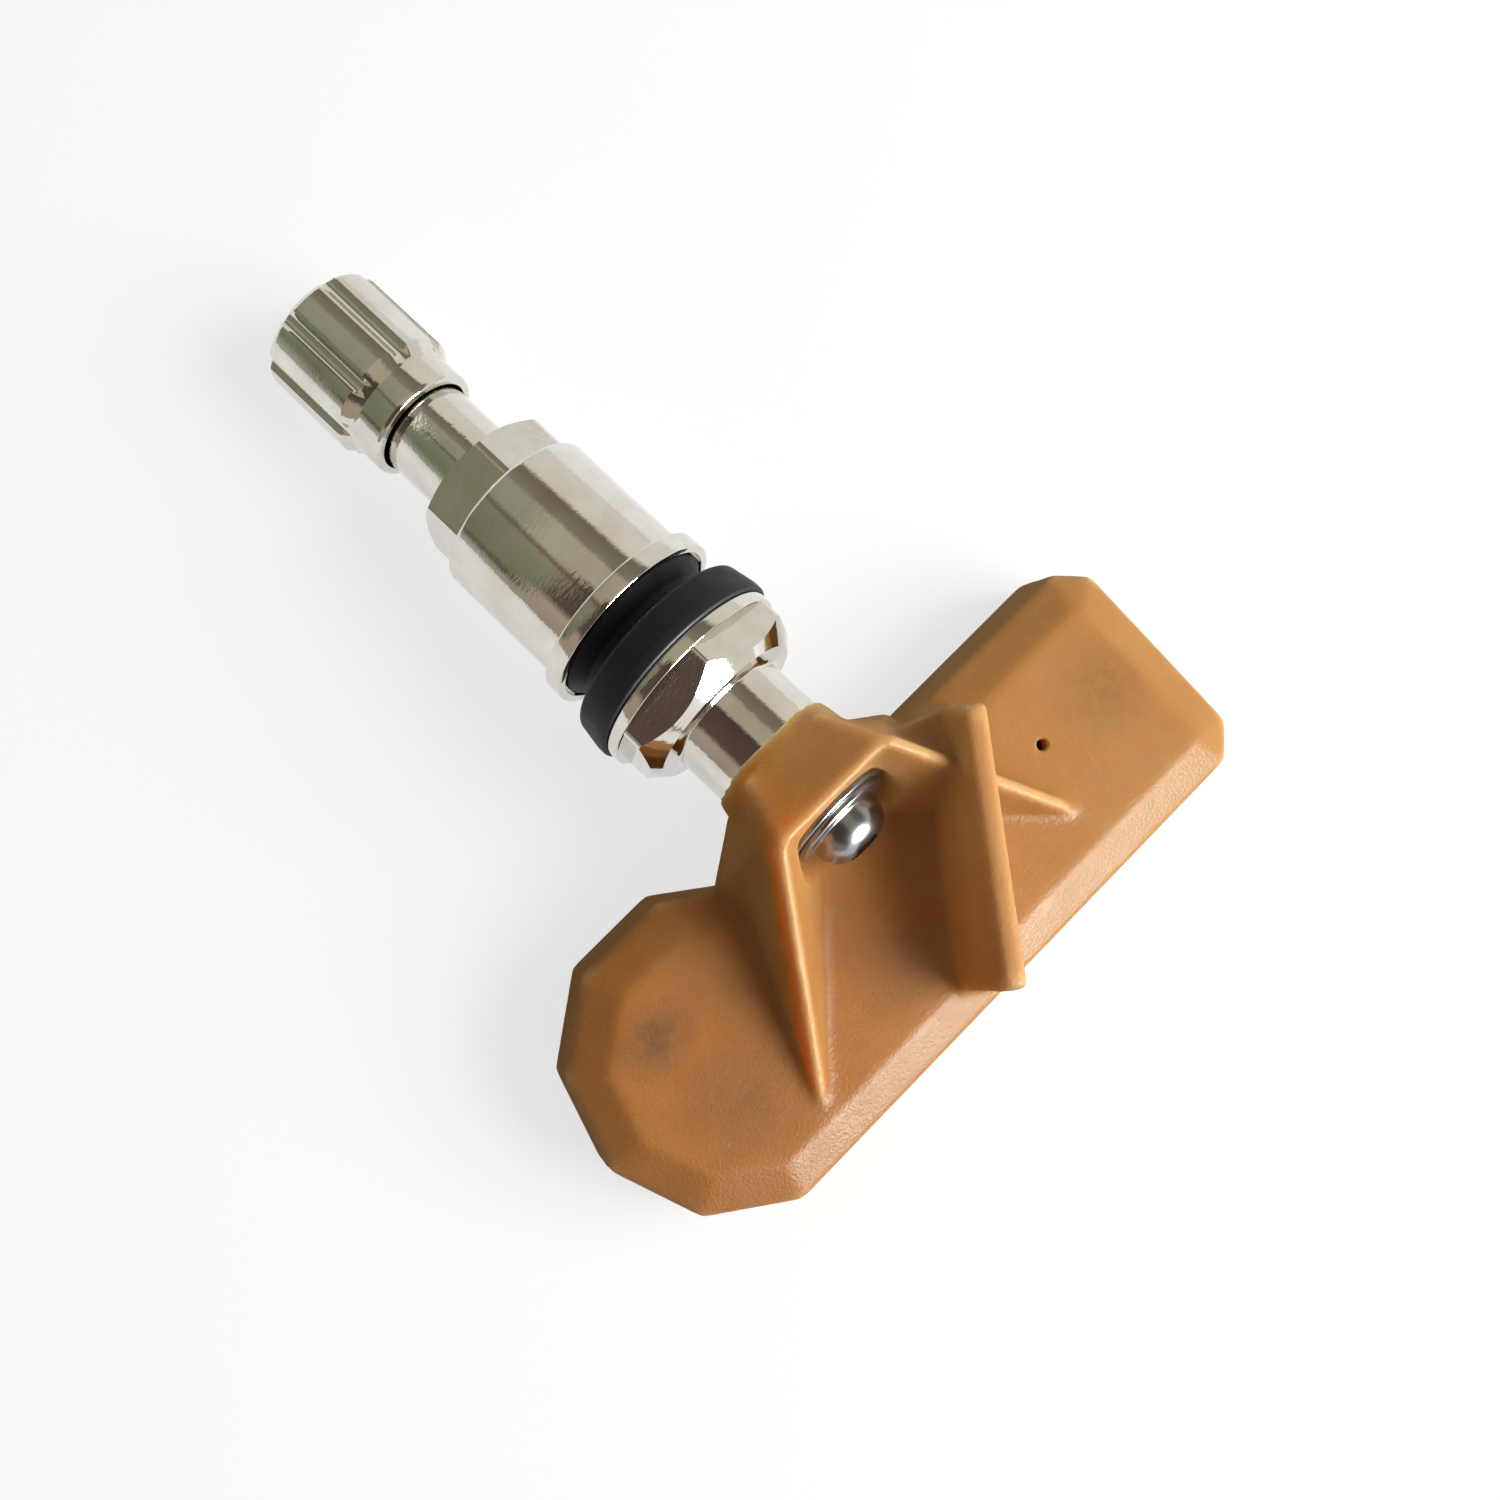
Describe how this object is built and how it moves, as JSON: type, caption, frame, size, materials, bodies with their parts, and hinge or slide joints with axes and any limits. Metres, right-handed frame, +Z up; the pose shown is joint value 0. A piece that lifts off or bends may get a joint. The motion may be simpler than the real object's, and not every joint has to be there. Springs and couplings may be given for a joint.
{
  "type": "tyre pressure sensor",
  "caption": "Amber plastic wheel sensor with a gusseted screw tower and guard rib, screwed to a plated clamp-in tyre valve with rubber grommet, union nut and grooved cap.",
  "frame": {"origin": "middle of the bounding box, on the table that it lies on", "axes": "+Z up as it lies on the table, +Y along the valve toward the cap, +X along the sensor body"},
  "size_m": [0.0586, 0.0742, 0.0214],
  "materials": {
    "amber_plastic": "glass-filled moulding, slightly translucent, satin",
    "plated": "polished nickel plate",
    "rubber": "matte black",
    "steel": "stainless steel",
    "brass": "turned brass",
    "board": "green laminate",
    "black_plastic": "moulded",
    "ceramic": "fired ceramic"
  },
  "bodies": {
    "sensor": {"housing": "amber_plastic", "base_cover": "amber_plastic", "circuit_board": "board", "battery": "steel", "battery_tab_top": "steel", "battery_tab_bottom": "steel", "sensor_chip": "black_plastic", "port_seal": "rubber", "radio_chip": "black_plastic", "crystal": "steel", "antenna_coil": "black_plastic", "capacitors": "ceramic", "valve_stem": "plated", "grommet": "rubber", "core_plug": "brass", "core_seal": "rubber", "core_spring": "steel"},
    "cap_seal": {"cap_seal": "rubber"},
    "cap": {"valve_cap": "plated"},
    "thrust_ring": {"thrust_ring": "plated"},
    "nut": {"union_nut": "plated"},
    "washer": {"screw_washer": "steel"},
    "screw": {"fixing_screw": "steel"},
    "core": {"core_pin": "brass", "pin_cup": "rubber"}
  },
  "joints": [
    {"name": "cap_travel", "type": "slide", "parent": "sensor", "child": "cap_seal", "axis": [0, 0.9846, -0.1747], "range_m": [0, 0.009]},
    {"name": "cap_turn", "type": "hinge", "parent": "cap_seal", "child": "cap", "pos_m": [0.00039, 0.02451, 0.00733], "axis": [0, 0.9846, -0.1747], "range_deg": [0, 4080.65]},
    {"name": "nut_travel", "type": "slide", "parent": "sensor", "child": "thrust_ring", "axis": [0, 0.9846, -0.1747], "range_m": [0, 0.005]},
    {"name": "nut_turn", "type": "hinge", "parent": "thrust_ring", "child": "nut", "pos_m": [0.00039, 0.0035, 0.01106], "axis": [0, 0.9846, -0.1747], "range_deg": [0, 2267.05]},
    {"name": "screw_travel", "type": "slide", "parent": "sensor", "child": "washer", "axis": [0, -0.9846, 0.1747], "range_m": [0, 0.0045]},
    {"name": "screw_turn", "type": "hinge", "parent": "washer", "child": "screw", "pos_m": [0.00039, -0.01791, 0.01486], "axis": [0, -0.9846, 0.1747], "range_deg": [0, 2314.34]},
    {"name": "core_press", "type": "slide", "parent": "sensor", "child": "core", "axis": [0, -0.9846, 0.1747], "range_m": [0, 0.0012], "stiffness_N_per_m": 1500, "springref_m": -0.001, "deforming": ["core_spring"]}
  ],
  "couplings": [
    {"joint": "cap_turn", "follows": "cap_travel", "rad_per_m": 7913.3},
    {"joint": "nut_turn", "follows": "nut_travel", "rad_per_m": 7913.3},
    {"joint": "screw_turn", "follows": "screw_travel", "rad_per_m": 8976}
  ]
}
